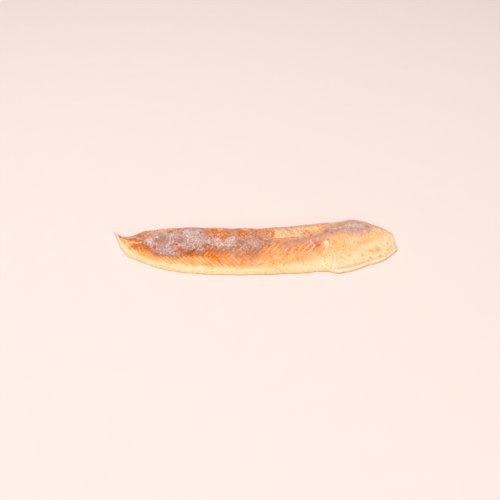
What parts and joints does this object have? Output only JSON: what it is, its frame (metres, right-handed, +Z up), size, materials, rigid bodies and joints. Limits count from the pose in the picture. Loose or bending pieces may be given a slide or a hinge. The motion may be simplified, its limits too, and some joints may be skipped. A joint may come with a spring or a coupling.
{
  "type": "smoked trout fillet",
  "caption": "Skinless smoked trout fillet lying skin side up, with a tapered tail, zigzag muscle flakes, a thin belly flap and a blunt head end.",
  "frame": {"origin": "on the resting plane, under the middle of the fillet's bounding box", "axes": "+X along the fillet from tail to head end, +Y from the belly edge to the back edge, +Z up"},
  "size_m": [0.224, 0.0614, 0.0137],
  "materials": {
    "smoked_flesh": "moist satin smoked flesh, orange to cream, with a grey-mauve membrane along the back"
  },
  "bodies": {
    "root": {"trout_fillet": "smoked_flesh"}
  },
  "joints": []
}
